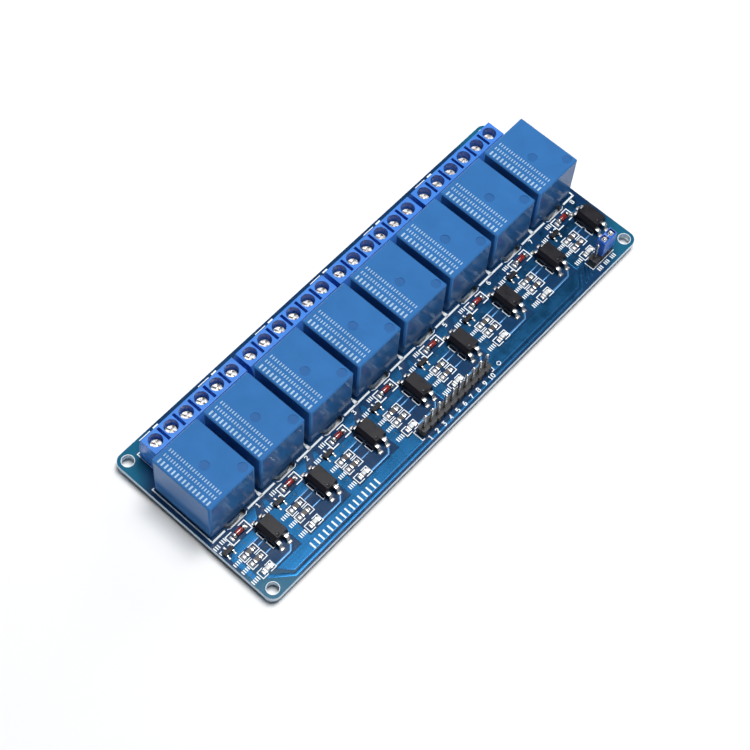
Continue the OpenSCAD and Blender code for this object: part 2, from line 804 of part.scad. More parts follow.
// The jumper bridges the two pins nearest the end of the board.
module at_jumper() {
    at_supply_header() translate([(supply_pins - jumpered_pins) / 2 * header_pitch, 0, jumper_bottom])
        children();
}

module jumper_cap() {
    color("royalblue")
    at_jumper() difference() {
        chamfered_top(jumper_length, jumper_width, jumper_height, 0.2);
        for (k = [0, 1]) translate([pin_x(k, jumpered_pins), 0, jumper_height / 2])
            cube([jumper_socket, jumper_width - 2 * jumper_wall, jumper_height + overcut], center = true);
        translate([
            -header_pitch / 2, -jumper_metal_t / 2 - jumper_pin_gap, jumper_height - jumper_slot_depth
        ])
            cube([header_pitch, jumper_metal_t + 2 * jumper_pin_gap, jumper_slot_depth + cut]);
    }
}

// Two square sleeves that grip the pins, joined by a bridge across the top of the cap.
module jumper_spring() {
    sleeve_inset = 0.35;
    sleeve_h = jumper_height - 2 * sleeve_inset;
    bridge_h = 0.6;
    bridge_l = header_pitch - sleeve_inside - jumper_metal_t;
    color("silver")
    at_jumper() {
        for (k = [0, 1]) translate([pin_x(k, jumpered_pins), 0, sleeve_inset])
            linear_extrude(sleeve_h) difference() {
                square(sleeve_outside, center = true);
                square(sleeve_inside, center = true);
            }
        translate([-bridge_l / 2, -jumper_metal_t / 2, sleeve_inset + sleeve_h - bridge_h])
            cube([bridge_l, jumper_metal_t, bridge_h]);
    }
}

// ---- solder ----------------------------------------------------------------------------------

// A cone of solder under the board, round a lead of section a by b.
module solder_cone(a, b) {
    pad_r = lead_hole_r(a, b) + solder_collar;
    difference() {
        translate([0, 0, solder_tip])
            cylinder(h = lead_stickout - solder_tip, r1 = norm([a, b]) / 2 + 0.08, r2 = pad_r);
        cube([a, b, 4 * lead_stickout], center = true);
    }
}

module solder_joints() {
    color("lightgray") {
        for (i = channel, lead = relay_leads)
            translate([relay_x(i) + lead[0], lead[1], 0]) solder_cone(lead[2], lead[3]);
        at_poles() translate([0, plate_y + plate_t / 2, 0]) solder_cone(terminal_pin_w, plate_t);
        at_header_pins() solder_cone(header_pin_w, header_pin_w);
    }
}

circuit_board();
for (i = channel) {
    relay_case(i);
    relay_base(i);
    optocoupler(i);
}
for (b = block) terminal_block(b);
relay_coil_pins();
relay_contact_blades();
terminal_screws();
wire_clamps();
contact_plates();
optocoupler_leads();
transistor_bodies();
transistor_leads();
diode_bodies();
diode_caps();
resistor_bodies();
resistor_ends();
led_bases();
led_lenses();
led_ends();
signal_header_strip();
signal_header_pins();
supply_header_strip();
supply_header_pins();
jumper_cap();
jumper_spring();
solder_joints();
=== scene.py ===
"""Looks of a relay module board: every surface's finish, the solder, the tracks and the legend."""
import math

import bmesh
import bpy
from mathutils import Matrix, Quaternion, Vector


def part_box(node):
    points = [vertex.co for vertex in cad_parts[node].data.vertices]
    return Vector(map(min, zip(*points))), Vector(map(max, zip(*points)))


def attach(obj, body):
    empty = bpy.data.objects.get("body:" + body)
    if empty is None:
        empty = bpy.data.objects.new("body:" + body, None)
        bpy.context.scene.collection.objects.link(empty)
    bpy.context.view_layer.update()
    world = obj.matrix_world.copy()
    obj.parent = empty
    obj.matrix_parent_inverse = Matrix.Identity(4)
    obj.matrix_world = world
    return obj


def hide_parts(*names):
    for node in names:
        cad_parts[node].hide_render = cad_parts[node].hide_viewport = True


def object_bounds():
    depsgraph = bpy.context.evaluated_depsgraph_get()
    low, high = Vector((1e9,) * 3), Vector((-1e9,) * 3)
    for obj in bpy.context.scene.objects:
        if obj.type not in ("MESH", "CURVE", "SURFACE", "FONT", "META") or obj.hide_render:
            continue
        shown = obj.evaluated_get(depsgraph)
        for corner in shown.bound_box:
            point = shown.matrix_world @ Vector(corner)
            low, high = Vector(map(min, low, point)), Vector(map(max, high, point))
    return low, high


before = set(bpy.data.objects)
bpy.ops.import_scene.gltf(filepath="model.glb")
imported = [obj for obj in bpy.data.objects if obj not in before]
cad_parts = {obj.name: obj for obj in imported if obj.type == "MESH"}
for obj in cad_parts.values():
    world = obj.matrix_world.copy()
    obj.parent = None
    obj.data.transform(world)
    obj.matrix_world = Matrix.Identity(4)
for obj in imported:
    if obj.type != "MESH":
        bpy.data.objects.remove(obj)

CAD_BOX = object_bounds()
MM = 0.001                      # the modelling below is in millimetres, the scene in metres
Z = Vector((0, 0, 1))
SIDES = (-1, 1)

COPPER_H = 0.035                # relief of a track under the solder mask
SHOULDER = 0.13                 # width of the slope at a track's edge, where the mask thins out
FOOT = 0.01                     # upright foot below such a slope, sunk into the board
INK_H = 0.05                    # top of the white legend above the board
PRINT_H = 0.018                 # thickness of the ink on a relay
PRINT_SUNK = 0.005              # how deep that ink starts below the relay's top

HARD_ABOVE = math.radians(25)   # an edge that turns more than this gets rounded
SHARP_ABOVE = math.radians(38)  # an edge that still turns more than this is shaded sharp


# ---- places, read from the frame ---------------------------------------------------------------

def box(node):
    """Lowest and highest corner of a node, in millimetres."""
    return [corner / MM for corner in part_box(node)]


def merged(node):
    """A bmesh copy of a node in millimetres, with its loose triangles joined."""
    bm = bmesh.new()
    bm.from_mesh(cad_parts[node].data)
    bmesh.ops.scale(bm, vec=(1 / MM,) * 3, verts=bm.verts)
    bmesh.ops.remove_doubles(bm, verts=bm.verts, dist=1e-4)
    return bm


def solids(node):
    """The box of each separate solid in a node, from -X to +X, then from -Y to +Y."""
    bm = merged(node)
    waiting, boxes = set(bm.verts), []
    while waiting:
        island = [waiting.pop()]
        for vert in island:
            for edge in vert.link_edges:
                other = edge.other_vert(vert)
                if other in waiting:
                    waiting.remove(other)
                    island.append(other)
        low = Vector([min(v.co[k] for v in island) for k in range(3)])
        high = Vector([max(v.co[k] for v in island) for k in range(3)])
        boxes.append((low, high))
    bm.free()
    return sorted(boxes, key=lambda b: (round(b[0].x, 2), round(b[0].y, 2)))


def middle(pair):
    return (pair[0] + pair[1]) / 2


CHANNELS = range(8)
BLOCKS = range(1, 5)            # the terminal blocks' numbers in the frame
BOARD = box("circuit_board")
DECK = BOARD[1].z
UNDERSIDE = BOARD[0].z
FRONT = BOARD[0].y
RELAYS = [box(f"relay_case_{i + 1}") for i in CHANNELS]
OPTOS = [box(f"optocoupler_{i + 1}") for i in CHANNELS]
DIODES = [middle(b) for b in solids("diode_bodies")]
TRANSISTORS = [middle(b) for b in solids("transistor_bodies")]
LEDS = [middle(b) for b in solids("led_bases")]
CHIPS = [middle(b) for b in solids("resistor_bodies")]
SIGNAL_PINS = [middle(b) for b in solids("signal_header_pins")]
SUPPLY_PINS = [middle(b) for b in solids("supply_header_pins")]
PIN_ROW = SIGNAL_PINS[0].y      # both headers stand on this line

OPTO_LEAD_X = 1.27              # from an optocoupler's middle to its leads
# A transistor's leads: which side, and how far from its middle.
TRANSISTOR_LEADS = ((1, 0.0), (-1, -0.95), (-1, 0.95))
HOLE_INSET = 2.55               # from a mounting hole's middle to the board's edges


# ---- shapes ------------------------------------------------------------------------------------

def rounded(bm, edges, width, segments=2):
    bmesh.ops.bevel(
        bm, geom=list(edges), offset=width, offset_type="OFFSET", segments=segments, profile=0.5,
        affect="EDGES", clamp_overlap=True, material=-1,
    )


def block(bm, low, high, edge, segments=2, top=(1, 1)):
    """A box with rounded edges; top is the share of its length and width that its top face has."""
    low, high = Vector(low), Vector(high)
    centre = (low + high) / 2
    place = Matrix.Translation(centre) @ Matrix.Diagonal((*(high - low), 1))
    verts = bmesh.ops.create_cube(bm, size=1, matrix=place)["verts"]
    for vert in verts:
        if vert.co.z > centre.z:
            vert.co.x = centre.x + (vert.co.x - centre.x) * top[0]
            vert.co.y = centre.y + (vert.co.y - centre.y) * top[1]
    rounded(bm, {e for vert in verts for e in vert.link_edges}, edge, segments)


def drum(bm, place, radius, length, sides):
    """A round plate or drum; place is the matrix of its middle."""
    bmesh.ops.create_cone(
        bm, cap_ends=True, segments=sides, radius1=radius, radius2=radius, depth=length, matrix=place,
    )


def spun(bm, profile, centre, sides):
    """A turned shape: the profile is [radius, height] from the axis outwards and back."""
    centre = Vector(centre)
    verts = [bm.verts.new(centre + Vector((r, 0, z))) for r, z in profile]
    edges = [bm.edges.new(pair) for pair in zip(verts, verts[1:])]
    bmesh.ops.spin(
        bm, geom=verts + edges, cent=centre, axis=Z, angle=math.tau, steps=sides, use_merge=True,
    )
    bmesh.ops.remove_doubles(bm, verts=bm.verts, dist=1e-5)


def verts_in(geometry):
    return [g for g in geometry if isinstance(g, bmesh.types.BMVert)]


def raised(bm, faces, height):
    """Gives flat faces a thickness."""
    verts = verts_in(bmesh.ops.extrude_face_region(bm, geom=faces)["geom"])
    bmesh.ops.translate(bm, vec=Z * height, verts=verts)
    return verts


def plate(bm, outline, z, height, shoulder=0.0):
    """A flat plate of any outline; with a shoulder, its rim slopes up to the flat."""
    face = bm.faces.new([bm.verts.new((x, y, z)) for x, y in outline])
    face.normal_update()
    if face.normal.z < 0:
        face.normal_flip()
    top = raised(bm, [face], FOOT if shoulder else height)
    if shoulder:
        flat = next(f for f in top[0].link_faces if all(v in top for v in f.verts))
        flat.normal_update()
        bmesh.ops.inset_region(
            bm, faces=[flat], thickness=shoulder, depth=height - FOOT, use_even_offset=True,
        )


def sides_of(points, width, closed):
    """The two sides of a line of even width with mitred corners."""
    points = [Vector(p) for p in points]
    last = len(points) - 1
    left, right = [], []
    for k, point in enumerate(points):
        ways = []
        if closed or k > 0:
            ways.append((point - points[k - 1]).normalized())
        if closed or k < last:
            ways.append((points[(k + 1) % len(points)] - point).normalized())
        way = sum(ways, Vector((0, 0))).normalized()
        across = Vector((-way.y, way.x)) * width / 2 / max(0.5, way.dot(ways[0]))
        left.append(point + across)
        right.append(point - across)
    return left, right


def line(bm, points, width, z, height, closed=False, shoulder=0.0):
    """A raised line of even width, such as a track or a stroke of the legend."""
    left, right = sides_of(points, width, closed)
    if not closed:
        plate(bm, left + right[::-1], z, height, shoulder)
        return
    loops = []
    for side in (left, right):
        verts = [bm.verts.new((*p, z)) for p in side]
        loops += [bm.edges.new(pair) for pair in zip(verts, verts[1:] + verts[:1])]
    raised(bm, bmesh.ops.bridge_loops(bm, edges=loops)["faces"], height)


def arc(centre, radius, start, end, steps=8):
    """Points along a round stretch, between two angles in degrees."""
    angles = [math.radians(start + (end - start) * k / steps) for k in range(steps + 1)]
    return [(centre[0] + radius * math.cos(a), centre[1] + radius * math.sin(a)) for a in angles]


def ring(centre, radius, steps):
    """Points round a full circle, the first not repeated."""
    return arc(centre, radius, 0, 360 - 360 / steps, steps - 1)


# Plain figures drawn with strokes, one unit high and this wide.
FIGURE_WIDTH = 0.6
FIGURES = {
    "0": [[(.15, 0), (.45, 0), (.6, .15), (.6, .85), (.45, 1), (.15, 1), (0, .85), (0, .15), (.15, 0)]],
    "1": [[(.1, .8), (.32, 1), (.32, 0)], [(.1, 0), (.54, 0)]],
    "2": [[(0, .82), (.15, 1), (.45, 1), (.6, .85), (.6, .62), (0, 0), (.62, 0)]],
    "3": [[(0, 1), (.58, 1), (.28, .62), (.46, .6), (.6, .45), (.6, .15), (.45, 0), (.12, 0), (0, .12)]],
    "4": [[(.44, 0), (.44, 1), (0, .32), (.62, .32)]],
    "5": [[(.56, 1), (.05, 1), (0, .56), (.42, .6), (.6, .45), (.6, .15), (.45, 0), (.12, 0), (0, .1)]],
    "6": [[(.5, 1), (.2, .92), (0, .6), (0, .15), (.15, 0), (.45, 0), (.6, .15), (.6, .4), (.45, .55),
           (.05, .5)]],
    "7": [[(0, 1), (.6, 1), (.22, 0)]],
    "8": [[(.15, .54), (.02, .66), (.02, .88), (.15, 1), (.45, 1), (.58, .88), (.58, .66), (.45, .54),
           (.6, .4), (.6, .13), (.45, 0), (.15, 0), (0, .13), (0, .4), (.15, .54), (.45, .54)]],
    "9": [[(.1, 0), (.4, .08), (.6, .4), (.6, .85), (.45, 1), (.15, 1), (0, .85), (0, .6), (.15, .45),
           (.55, .5)]],
}


def figures(bm, text, centre, height, z, stroke, spacing):
    """Writes plain numbers, centred on a point."""
    length = spacing * (len(text) - 1) + FIGURE_WIDTH
    start = Vector(centre) - Vector((length, 1)) * height / 2
    for k, figure in enumerate(text):
        for path in FIGURES[figure]:
            points = [start + height * Vector((x + k * spacing, y)) for x, y in path]
            line(bm, points, stroke, z, INK_H)


def ticks(bm, centre, count, pitch, size, z, along=(1, 0), ink=INK_H):
    """An even row of plain upright bars, centred on a point; size is a bar's width and height."""
    along = Vector(along)
    up = Vector((-along.y, along.x))
    for k in range(count):
        foot = Vector(centre) + along * pitch * (k - (count - 1) / 2) - up * size[1] / 2
        line(bm, [foot, foot + up * size[1]], size[0], z, ink)


# ---- finishes ----------------------------------------------------------------------------------

def add(mat, kind, inputs=(), **settings):
    """Adds a node to a material; an input is a value or the socket that feeds it."""
    tree = mat.node_tree
    made = tree.nodes.new(kind)
    for key, value in settings.items():
        setattr(made, key, value)
    for key, value in dict(inputs).items():
        if isinstance(value, bpy.types.NodeSocket):
            tree.links.new(value, made.inputs[key])
        else:
            made.inputs[key].default_value = value
    return made


def maths(mat, operation, *values):
    inputs = dict(enumerate(values))
    return add(mat, "ShaderNodeMath", inputs, operation=operation).outputs[0]


def shader_of(mat):
    return mat.node_tree.nodes["Principled BSDF"]


def feed(mat, name, socket):
    mat.node_tree.links.new(socket, shader_of(mat).inputs[name])


def base_finish(name, colour, roughness, **constants):
    """A material with plain values; the keywords are the shader's sockets, with _ for a space."""
    mat = bpy.data.materials.new(name)
    mat.use_nodes = True
    inputs = shader_of(mat).inputs
    inputs["Base Color"].default_value = (*colour, 1)
    inputs["Roughness"].default_value = roughness
    for key, value in constants.items():
        inputs[key.replace("_", " ")].default_value = value
    return mat


def place_on(mat, stretch=None):
    """Object coordinates, stretched where a pattern has a direction."""
    point = add(mat, "ShaderNodeTexCoord").outputs["Object"]
    if stretch:
        point = add(mat, "ShaderNodeMapping", {"Vector": point, "Scale": stretch}).outputs["Vector"]
    return point


def cloud(mat, size, detail=3.0, stretch=None):
    """A soft random pattern whose features are about this many millimetres across."""
    inputs = {"Vector": place_on(mat, stretch), "Scale": 1 / (size * MM), "Detail": detail}
    return add(mat, "ShaderNodeTexNoise", inputs).outputs["Fac"]


def shades(mat, factor, *stops):
    """Colours along a pattern, as (place, colour)."""
    ramp = add(mat, "ShaderNodeValToRGB", {"Fac": factor})
    while len(ramp.color_ramp.elements) < len(stops):
        ramp.color_ramp.elements.new(0.5)
    for element, (place, colour) in zip(ramp.color_ramp.elements, stops):
        element.position = place
        element.color = (*colour, 1)
    return ramp.outputs["Color"]


def spread(mat, factor, low, high, start=0.3, end=0.7):
    """Turns a pattern, where it runs from start to end, into values between low and high."""
    inputs = {"Value": factor, "From Min": start, "From Max": end, "To Min": low, "To Max": high}
    return add(mat, "ShaderNodeMapRange", inputs).outputs["Result"]


def relief(mat, height, depth, strength=1.0, under=None):
    """Bump of this depth in millimetres."""
    inputs = {"Height": height, "Distance": depth * MM, "Strength": strength}
    if under:
        inputs["Normal"] = under
    return add(mat, "ShaderNodeBump", inputs).outputs["Normal"]


def mixed(mat, factor, first, second):
    """Mixes two colours, each a socket or a plain colour."""
    node = add(mat, "ShaderNodeMix", data_type="RGBA")
    for key, value in (("Factor", factor), ("A", first), ("B", second)):
        # a colour mix has float, vector and colour inputs of the same name; the colour ones come last
        inputs = [i for i in node.inputs if i.name == key and i.enabled]
        if isinstance(value, bpy.types.NodeSocket):
            mat.node_tree.links.new(value, inputs[-1])
        else:
            inputs[-1].default_value = (*value, 1)
    return next(o for o in node.outputs if o.enabled)


def scaled(colour, by):
    return tuple(min(1.0, c * by) for c in colour)


def plastic(name, colour, roughness=0.3, mottle=0.06, grain=0.12, depth=0.004, **constants):
    """Moulded plastic: faint clouding, a fine grain and slightly uneven gloss."""
    mat = base_finish(name, colour, roughness, **constants)
    darker, paler = scaled(colour, 1 - mottle), scaled(colour, 1 + mottle)
    feed(mat, "Base Color", shades(mat, cloud(mat, 6, detail=4), (0.3, darker), (0.7, paler)))
    feed(mat, "Roughness", spread(mat, cloud(mat, 2.5, 5), roughness * 0.85, roughness * 1.25))
    feed(mat, "Normal", relief(mat, cloud(mat, grain, 2), depth))
    return mat


def metal(name, colour, roughness=0.25, tarnish=0.12, grain=0.2, depth=0.004, bare=1.0):
    """Plated metal with cloudy tarnish and fine marks; bare is how metallic it looks."""
    mat = base_finish(name, colour, roughness, Metallic=bare)
    darker, paler = scaled(colour, 1 - tarnish), scaled(colour, 1 + tarnish / 3)
    feed(mat, "Base Color", shades(mat, cloud(mat, 0.9, 5), (0.3, darker), (0.65, paler)))
    feed(mat, "Roughness", spread(mat, cloud(mat, 0.4, 4), roughness * 0.7, roughness * 1.4))
    feed(mat, "Normal", relief(mat, cloud(mat, grain, 3), depth))
    return mat


def woven(mat):
    """The faint square weave of glass cloth under the mask."""
    inputs = {
        "Vector": place_on(mat), "Scale": 320.0, "Distortion": 0.6, "Detail": 1.0, "Detail Scale": 0.4,
    }
    waves = [
        add(mat, "ShaderNodeTexWave", inputs, wave_type="BANDS", bands_direction=way).outputs["Fac"]
        for way in "XY"
    ]
    return maths(mat, "MULTIPLY", *waves)


def masked(name, dark, light, copper=0.0, roughness=0.165):
    """Glossy solder mask; over copper the metal below gives a blue sheen."""
    mat = base_finish(name, dark, roughness, Metallic=copper, Specular_IOR_Level=0.35)
    weave = woven(mat)
    tone = maths(mat, "ADD", cloud(mat, 14, 4), spread(mat, weave, -0.05, 0.05, 0, 1))
    feed(mat, "Base Color", shades(mat, tone, (0.32, dark), (0.68, light)))
    feed(mat, "Roughness", spread(mat, cloud(mat, 3, 4), roughness * 0.85, roughness * 1.2))
    cloth = relief(mat, weave, depth=0.004, strength=0.4)
    feed(mat, "Normal", relief(mat, cloud(mat, 0.8, 2), depth=0.0015, under=cloth))
    return mat


def board_finish():
    """Mask on bare laminate, painted a paler teal towards the corners where the floor's light shines up
    through it, and pale sawn edges and holes.
    """
    mat = masked("mask_over_laminate", (0.004, 0.032, 0.096), (0.007, 0.045, 0.122))
    mask = shader_of(mat).inputs["Base Color"].links[0].from_socket
    place = add(mat, "ShaderNodeSeparateXYZ", {"Vector": place_on(mat)})
    away = [maths(mat, "ABSOLUTE", place.outputs[way]) for way in "XY"]
    # painted light: towards the corners the mask is painted a paler teal, for the floor's light that shines
    # up through the bare laminate
    corner = spread(mat, maths(mat, "ADD", *away), 0, 1, start=0.081, end=0.087)
    painted_backlight = mixed(mat, corner, mask, (0.010, 0.12, 0.215))
    fibres = shades(
        mat, cloud(mat, 0.25, 4, stretch=(1, 1, 4)), (0.3, (0.36, 0.52, 0.66)), (0.7, (0.64, 0.80, 0.93))
    )
    normal = add(mat, "ShaderNodeTexCoord").outputs["Normal"]
    facing = add(mat, "ShaderNodeSeparateXYZ", {"Vector": normal}).outputs["Z"]
    upright = maths(mat, "LESS_THAN", maths(mat, "ABSOLUTE", facing), 0.5)
    feed(mat, "Base Color", mixed(mat, upright, painted_backlight, fibres))
    return mat


def diode_finish():
    """Red glass, darker and paler along its length."""
    mat = base_finish("diode_glass", (0.5, 0.05, 0.03), 0.12, Coat_Weight=1.0, Coat_Roughness=0.04)
    streaks = cloud(mat, 0.8, 3, stretch=(0.5, 2, 2))
    feed(mat, "Base Color", shades(mat, streaks, (0.35, (0.16, 0.010, 0.010)), (0.7, (0.42, 0.045, 0.035))))
    return mat


FINISHES = {
    "board": board_finish(),
    "copper_mask": masked("mask_over_copper", (0.006, 0.054, 0.134), (0.008, 0.066, 0.160), 0.9, 0.27),
    # paler than the pours' mask: a painted highlight for the light that the thin tracks' edges catch
    "track_mask_painted_highlight": masked("mask_over_tracks_painted_highlight", (0.04, 0.14, 0.29), (0.055, 0.17, 0.34), 0.5, 0.34),
    "ink": plastic("legend_ink", (0.90, 0.95, 0.98), 0.55, mottle=0.04, depth=0.006),
    "print": plastic("relay_print", (0.36, 0.52, 0.66), 0.5, mottle=0.12, depth=0.004),
    "relay": plastic("relay_plastic", (0.040, 0.165, 0.425), 0.16, depth=0.002, grain=0.3,
                     Specular_IOR_Level=0.1),
    # darker than the relay's plastic: painted shade on the floors of the shallow round marks; the higher
    # roughness is their own duller surface
    "relay_mark": plastic("relay_mark_shaded_plastic", (0.030, 0.128, 0.345), 0.32, grain=0.3,
                          Specular_IOR_Level=0.1),
    "relay_base": plastic("sealing_resin", (0.012, 0.03, 0.09), 0.35),
    "terminal": plastic("terminal_plastic", (0.055, 0.230, 0.72), 0.25, grain=0.2),
    "screw": metal("zinc_plate", (0.72, 0.70, 0.67), 0.48, tarnish=0.5, grain=0.5, depth=0.05),
    "clamp": metal("clamp_plate", (0.72, 0.68, 0.58), 0.35),
    "tin": metal("tin_plate", (0.76, 0.76, 0.75), 0.32),
    "solder": metal("bright_solder", (0.82, 0.81, 0.80), 0.3, tarnish=0.3, grain=0.5, depth=0.02,
                    bare=0.6),
    # darker than the bright solder: painted shade for the pads that the light leaves dark
    "shaded_solder": metal("solder_in_painted_shade", (0.44, 0.43, 0.42), 0.34, tarnish=0.45, grain=0.3,
                         depth=0.02, bare=0.8),
    "epoxy": plastic("moulded_epoxy", (0.011, 0.010, 0.014), 0.31, grain=0.08, depth=0.008,
                     Specular_IOR_Level=0.22),
    "chip_black": plastic("chip_glaze", (0.050, 0.036, 0.032), 0.3, mottle=0.2),
    "ceramic": plastic("ceramic", (0.66, 0.62, 0.58), 0.4),
    "lens": plastic("led_resin", (0.80, 0.79, 0.76), 0.3, mottle=0.1, Subsurface_Weight=0.2),
    "diode": diode_finish(),
    "band": plastic("diode_ends", (0.02, 0.015, 0.015), 0.2),
    "header": plastic("header_plastic", (0.014, 0.013, 0.016), 0.4),
    "pin": metal("pin_plate", (0.72, 0.71, 0.69), 0.22),
    "jumper": plastic("jumper_plastic", (0.032, 0.15, 0.62), 0.3),
    "pad": metal("tinned_pad", (0.70, 0.71, 0.70), 0.28),
    "via": plastic("plugged_via", (0.004, 0.02, 0.05), 0.3),
}


# ---- how a piece is made and seated ------------------------------------------------------------

def finished(name, bm, look, body="board", replaces=()):
    """Makes a piece of a bmesh drawn in millimetres, and seats it on its body."""
    bmesh.ops.recalc_face_normals(bm, faces=bm.faces)
    bmesh.ops.scale(bm, vec=(MM,) * 3, verts=bm.verts)
    mesh = bpy.data.meshes.new(name)
    bm.to_mesh(mesh)
    bm.free()
    mesh.materials.append(FINISHES[look])
    mesh.shade_smooth()
    mesh.set_sharp_from_angle(angle=SHARP_ABOVE)
    piece = bpy.data.objects.new(name, mesh)
    bpy.context.scene.collection.objects.link(piece)
    weigh = piece.modifiers.new("even_shading", "WEIGHTED_NORMAL")
    weigh.keep_sharp = True
    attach(piece, body)
    if replaces:
        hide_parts(*replaces)
    return piece


def softened(name, node, look, width, body="board", shortest=0.0):
    """A copy of a CAD node with its hard edges slightly rounded, as moulding or plating leaves them."""
    bm = merged(node)
    bmesh.ops.dissolve_limit(
        bm, angle_limit=math.radians(0.5), verts=bm.verts, edges=bm.edges, use_dissolve_boundaries=False
    )
    hard = [
        e for e in bm.edges
        if len(e.link_faces) == 2 and e.calc_face_angle() > HARD_ABOVE and e.calc_length() > shortest
    ]
    rounded(bm, hard, width)
    return finished(name, bm, look, body, [node])


def give(node, look):
    """Assigns a finish to a CAD node that stays as it is."""
    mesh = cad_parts[node].data
    mesh.materials.clear()
    mesh.materials.append(FINISHES[look])


# ---- relays and terminal blocks ----------------------------------------------------------------

def mark_floors(case):
    """Gives the floors of the two shallow round marks a darker colour, painted shade in the recesses, and a
    duller finish.
    """
    case.data.materials.append(FINISHES["relay_mark"])
    floor_below = max(v.co.z for v in case.data.vertices) - 0.03 * MM
    for face in case.data.polygons:
        faces_up = face.normal.z > 0.99
        if faces_up and face.center.z < floor_below:
            face.material_index = 1


def relays():
    for i in CHANNELS:
        # the edges round the marks are shorter than 2 mm, and stay crisp
        case = softened(
            f"relay_{i + 1}_case", f"relay_case_{i + 1}", "relay", 0.12, shortest=2.0
        )
        mark_floors(case)
        give(f"relay_base_{i + 1}", "relay_base")
    give("relay_coil_pins", "tin")
    give("relay_contact_blades", "tin")


# Even rows of ticks on a relay's top: distance of the row from the left face, count, pitch,
# and the width and height of a tick.
PRINT_ROWS = [(1.25, 15, 1.12, (0.45, 1.3)), (3.15, 22, 0.76, (0.25, 0.85)), (4.85, 22, 0.76, (0.25, 0.85))]


def relay_prints():
    """Three even rows of plain ticks in pale ink on each relay's top."""
    bm = bmesh.new()
    for low, high in RELAYS:
        for row, count, pitch, size in PRINT_ROWS:
            place = (low.x + row, (low.y + high.y) / 2)
            ticks(bm, place, count, pitch, size, high.z - PRINT_SUNK, along=(0, -1), ink=PRINT_H)
    finished("relay_print", bm, "print")


def terminals():
    for k in BLOCKS:
        softened(f"terminal_{k}_housing", f"terminal_block_{k}", "terminal", 0.07)
    give("terminal_screws", "screw")
    give("wire_clamps", "clamp")
    give("contact_plates", "tin")


# ---- small parts -------------------------------------------------------------------------------

def gull_wing(bm, centre, row, width, thick, start, end, height):
    """A strip bent twice: out of the body, down to the board and out along it, with round bends."""
    bend = min(thick * 1.9, (end - start) / 4)
    knee = start + (end - start) * 0.30
    bends = ((knee, height - thick / 2 - bend), (knee + 2 * bend, thick / 2 + bend))
    wide, tight = bend + thick / 2, bend - thick / 2
    inside = start - 0.1        # the strip's root is sunk this far into the body
    side = [
        (inside, height), *arc(bends[0], wide, 90, 0), *arc(bends[1], tight, 180, 270), (end, thick),
        (end, 0), *arc(bends[1], wide, 270, 180), *arc(bends[0], tight, 0, 90), (inside, height - thick),
    ]
    centre = Vector(centre)
    face = bm.faces.new([bm.verts.new(centre + Vector((-width / 2, row * y, z))) for y, z in side])
    made = bmesh.ops.extrude_face_region(bm, geom=[face])["geom"]
    bmesh.ops.translate(bm, vec=(width, 0, 0), verts=verts_in(made))
    flanks = [face, next(g for g in made if isinstance(g, bmesh.types.BMFace) and len(g.verts) > 4)]
    rounded(bm, {edge for flank in flanks for edge in flank.edges}, thick * 0.2)


def optocouplers():
    for i in CHANNELS:
        softened(f"optocoupler_{i + 1}_body", f"optocoupler_{i + 1}", "epoxy", 0.06)
    bm = bmesh.new()
    ends = box("optocoupler_leads")
    reach = (ends[1].y - ends[0].y) / 2
    for low, high in OPTOS:
        centre = middle((low, high))
        start = (high.y - low.y) / 2
        for row in SIDES:
            for side in SIDES:
                foot = (centre.x + side * OPTO_LEAD_X, centre.y, DECK)
                gull_wing(bm, foot, row, width=1.0, thick=0.25, start=start, end=reach, height=1.9)
    finished("optocoupler_lead_set", bm, "tin", replaces=["optocoupler_leads"])


def transistors():
    softened("transistor_body_set", "transistor_bodies", "epoxy", 0.04)
    bm = bmesh.new()
    low, high = box("transistor_leads")
    reach = (high.y - low.y) / 2
    for centre in TRANSISTORS:
        for row, offset in TRANSISTOR_LEADS:
            foot = (centre.x + offset, centre.y, DECK)
            gull_wing(bm, foot, row, width=0.42, thick=0.14, start=0.62, end=reach, height=0.62)
    finished("transistor_lead_set", bm, "tin", replaces=["transistor_leads"])


def diodes():
    """Glass bodies, tinned caps, and the dark ends of the glass beside them."""
    softened("diode_glass_set", "diode_bodies", "diode", 0.04)
    softened("diode_cap_set", "diode_caps", "tin", 0.06)
    bm = bmesh.new()
    turn = Matrix.Rotation(math.pi / 2, 4, "Y")
    for centre in DIODES:
        for side in SIDES:
            place = Matrix.Translation(centre + Vector((side * 1.12, 0, 0))) @ turn
            drum(bm, place, radius=0.72, length=0.34, sides=24)
    finished("diode_bands", bm, "band")


def resistors():
    softened("resistor_core_set", "resistor_bodies", "ceramic", 0.03)
    softened("resistor_end_set", "resistor_ends", "tin", 0.05)
    bm = bmesh.new()
    top = box("resistor_bodies")[1].z
    half = Vector((0.80, 0.60))
    for centre in CHIPS:
        low, high = centre.xy - half, centre.xy + half
        block(bm, (*low, top - 0.05), (*high, top + 0.04), edge=0.03)
    finished("resistor_glaze", bm, "chip_black")


def leds():
    softened("led_base_set", "led_bases", "ceramic", 0.03)
    softened("led_lens_set", "led_lenses", "lens", 0.05)
    give("led_ends", "tin")


def headers():
    softened("signal_strip", "signal_header_strip", "header", 0.05)
    softened("supply_strip", "supply_header_strip", "header", 0.05)
    softened("signal_pin_set", "signal_header_pins", "pin", 0.04)
    softened("supply_pin_set", "supply_header_pins", "pin", 0.04)


def jumper():
    softened("jumper_shell", "jumper_cap", "jumper", 0.05, body="jumper")
    softened("jumper_contact", "jumper_spring", "tin", 0.03, body="jumper")


# ---- solder ------------------------------------------------------------------------------------

def mound(bm, centre, size, top, height):
    """Solder that climbs from a pad to a lead or a chip's end; top is as in block."""
    x, y = centre
    block(bm, (x - size[0] / 2, y - size[1] / 2, DECK), (x + size[0] / 2, y + size[1] / 2, DECK + height),
          min(0.12, height * 0.45), 3, top)


